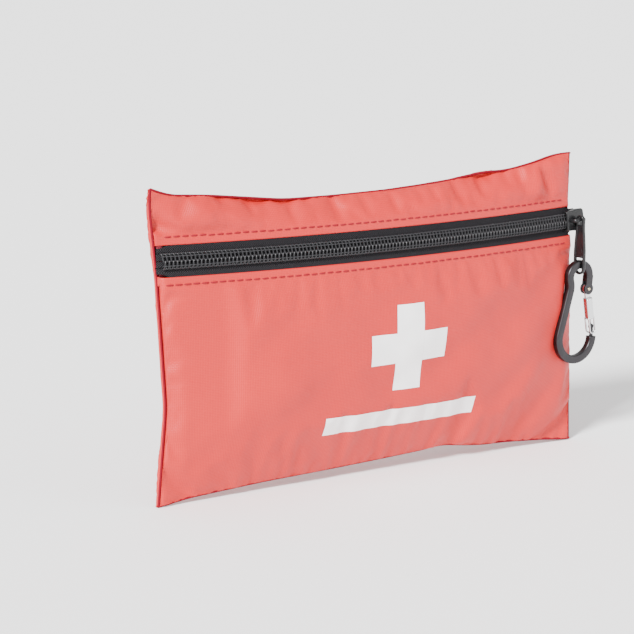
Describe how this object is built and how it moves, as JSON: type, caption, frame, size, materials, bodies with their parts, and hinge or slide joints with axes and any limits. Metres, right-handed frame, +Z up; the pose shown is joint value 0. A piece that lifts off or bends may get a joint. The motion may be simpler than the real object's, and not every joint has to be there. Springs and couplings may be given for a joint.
{
  "type": "first aid kit",
  "caption": "Small soft zip pouch with a cross on its front, a spring clip on the zip pull, and a set of first aid supplies inside.",
  "frame": {"origin": "bottom centre of the whole kit's box, under the pouch standing on its long edge", "axes": "+Z up; the zipper runs along X and closes towards +X; the printed front faces -Y"},
  "size_m": [0.1952, 0.025, 0.12],
  "materials": {
    "red_cloth": "coated woven polyester, faintly shiny",
    "red_thread": "twisted sewing thread",
    "seam_tape": "woven binding",
    "zip_tape": "woven twill",
    "zip_coil": "nylon monofilament",
    "slider_black": "satin black enamel on zinc",
    "clip_grey": "dark grey anodised, satin",
    "gate_steel": "bright plated",
    "pin_brass": "rivet, satin",
    "spring_steel": "drawn wire",
    "white_print": "screen print, matte",
    "gauze": "open cotton weave",
    "bandage_cloth": "plain cotton",
    "sachet_paper": "crimped sachet paper",
    "plaster_wrap": "peel strip paper",
    "tape_white": "coated cloth tape",
    "core_card": "wound card",
    "wipe_foil": "laminated foil sachet",
    "tool_steel": "stainless"
  },
  "bodies": {
    "pouch": {"front_lower_panel": "red_cloth", "front_upper_panel": "red_cloth", "back_panel": "red_cloth", "side_seam_binding_left": "seam_tape", "side_seam_binding_right": "seam_tape", "printed_cross": "white_print", "zip_tape_upper": "zip_tape", "zip_tape_lower": "zip_tape", "zip_coil_upper": "zip_coil", "zip_coil_lower": "zip_coil", "topstitch_upper": "red_thread", "topstitch_lower": "red_thread", "gauze_bandage_left": "gauze", "gauze_bandage_right": "gauze", "triangular_bandage": "bandage_cloth", "wound_dressings": "sachet_paper", "sticking_plasters": "plaster_wrap", "adhesive_tape_roll": "tape_white", "adhesive_tape_core": "core_card", "antiseptic_wipes": "wipe_foil", "scissors_half_fixed": "tool_steel", "scissors_rivet": "tool_steel", "tweezers": "tool_steel", "safety_pins": "tool_steel"},
    "slider": {"slider_body": "slider_black", "slider_crown": "slider_black"},
    "pull": {"pull_tab": "slider_black"},
    "carabiner": {"carabiner_body": "clip_grey", "gate_pivot_pin": "pin_brass"},
    "gate": {"carabiner_gate": "gate_steel", "gate_spring": "spring_steel"},
    "scissors_moving_half": {"scissors_half_moving": "tool_steel"}
  },
  "joints": [
    {"name": "slider_travel", "type": "hinge", "parent": "pouch", "child": "slider", "pos_m": [-0.00263, 0.47068, 0.094], "axis": [0, 0, 1], "range_deg": [-20.8, 0], "deforming": ["zip_tape_upper", "zip_tape_lower", "zip_coil_upper", "zip_coil_lower"]},
    {"name": "pull_swing", "type": "hinge", "parent": "slider", "child": "pull", "pos_m": [0.08838, -0.00722, 0.09491], "axis": [-0.9823, -0.1871, 0], "range_deg": [0, 170]},
    {"name": "carabiner_swing", "type": "hinge", "parent": "pull", "child": "carabiner", "pos_m": [0.08838, -0.00722, 0.07671], "axis": [0.9939, 0.0974, -0.0523], "range_deg": [-110, 0]},
    {"name": "gate_hinge", "type": "hinge", "parent": "carabiner", "child": "gate", "pos_m": [0.09271, -0.00679, 0.06607], "axis": [-0.0976, 0.9952, 0], "range_deg": [0, 24], "stiffness_Nm_per_rad": 0.02},
    {"name": "scissors_hinge", "type": "hinge", "parent": "pouch", "child": "scissors_moving_half", "pos_m": [-0.00863, 0.00948, 0.05], "axis": [0, -1, 0], "range_deg": [0, 20]}
  ]
}
